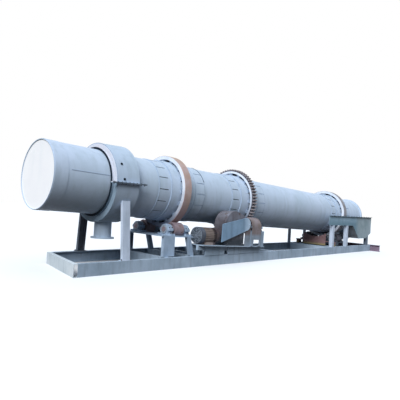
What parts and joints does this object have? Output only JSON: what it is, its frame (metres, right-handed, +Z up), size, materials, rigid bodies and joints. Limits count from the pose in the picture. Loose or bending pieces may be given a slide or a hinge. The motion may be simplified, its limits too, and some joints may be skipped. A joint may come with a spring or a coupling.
{
  "type": "rotary dryer",
  "caption": "Skid-mounted rotary dryer: an inclined steel drum on riding rings and trunnion rollers, turned by a girth gear and pinion, with a feed hood and open discharge casing.",
  "frame": {"origin": "underside of the cross beam at the skid's mid length, on the centre line, at ground level", "axes": "+X along the skid towards the discharge end, -Y the drive side, +Z up"},
  "size_m": [12.2748, 2.242, 2.3314],
  "materials": {
    "drum_paint": "semi-gloss blue-grey paint",
    "hood_paint": "semi-gloss blue-grey paint",
    "pale_paint": "pale grey primer",
    "skid_paint": "dusty grey-blue paint",
    "block_paint": "dark blue-grey paint",
    "rusty_steel": "lightly rusted cast steel",
    "casing_paint": "blue-grey paint",
    "bare_plate": "dull mill-scale plate",
    "white_cover": "white paint",
    "motor_paint": "brown primer with dirt",
    "reducer_paint": "brown primer with worn grey paint",
    "guard_paint": "blue-grey paint"
  },
  "bodies": {
    "frame": {"skid_beam_front": "skid_paint", "skid_beam_rear": "skid_paint", "end_beam_left": "skid_paint", "end_beam_right": "rusty_steel", "cross_beams": "skid_paint", "hood_upper": "hood_paint", "hood_lower": "hood_paint", "spout": "hood_paint", "hood_leg_front": "pale_paint", "hood_leg_rear": "pale_paint", "roller_table_1": "skid_paint", "roller_table_2": "skid_paint", "roller_blocks_1": "block_paint", "roller_blocks_2": "block_paint", "casing_wall_front": "casing_paint", "casing_wall_rear": "casing_paint", "casing_hopper": "bare_plate", "casing_legs_front": "pale_paint", "casing_legs_rear": "pale_paint", "drive_plinth": "skid_paint", "motor": "motor_paint", "reducer": "reducer_paint", "reducer_guard": "guard_paint", "coupling_guard": "guard_paint", "pinion_pedestals": "skid_paint", "pinion_blocks": "block_paint"},
    "drum": {"drum_shell": "drum_paint", "drum_flights": "bare_plate", "end_disc": "white_cover", "end_ring": "drum_paint", "rim_band": "drum_paint", "tyre_1": "rusty_steel", "tyre_2": "rusty_steel", "tyre_seat_1": "drum_paint", "tyre_seat_2": "drum_paint", "girth_gear": "rusty_steel", "gear_seat": "drum_paint"},
    "pinion": {"pinion": "rusty_steel", "drive_coupling": "rusty_steel"},
    "roller_1_front": {"roller_1_front": "rusty_steel"},
    "roller_1_rear": {"roller_1_rear": "rusty_steel"},
    "roller_2_front": {"roller_2_front": "rusty_steel"},
    "roller_2_rear": {"roller_2_rear": "rusty_steel"}
  },
  "joints": [
    {"name": "drum_spin", "type": "hinge", "parent": "frame", "child": "drum", "pos_m": [0, 0, 1.40501], "axis": [0.9992, 0, -0.04], "continuous": true},
    {"name": "pinion_spin", "type": "hinge", "parent": "frame", "child": "pinion", "pos_m": [-1.00587, -0.7354, 0.82766], "axis": [0.9992, 0, -0.04], "continuous": true},
    {"name": "roller_1_front_spin", "type": "hinge", "parent": "frame", "child": "roller_1_front", "pos_m": [-3.26092, -0.45515, 0.74644], "axis": [0.9992, 0, -0.04], "continuous": true},
    {"name": "roller_1_rear_spin", "type": "hinge", "parent": "frame", "child": "roller_1_rear", "pos_m": [-3.26092, 0.45515, 0.74644], "axis": [0.9992, 0, -0.04], "continuous": true},
    {"name": "roller_2_front_spin", "type": "hinge", "parent": "frame", "child": "roller_2_front", "pos_m": [3.97929, -0.45515, 0.45691], "axis": [0.9992, 0, -0.04], "continuous": true},
    {"name": "roller_2_rear_spin", "type": "hinge", "parent": "frame", "child": "roller_2_rear", "pos_m": [3.97929, 0.45515, 0.45691], "axis": [0.9992, 0, -0.04], "continuous": true}
  ],
  "couplings": [
    {"joint": "pinion_spin", "follows": "drum_spin", "ratio": -4},
    {"joint": "roller_1_front_spin", "follows": "drum_spin", "ratio": -5.0667},
    {"joint": "roller_1_rear_spin", "follows": "drum_spin", "ratio": -5.0667},
    {"joint": "roller_2_front_spin", "follows": "drum_spin", "ratio": -5.0667},
    {"joint": "roller_2_rear_spin", "follows": "drum_spin", "ratio": -5.0667}
  ]
}
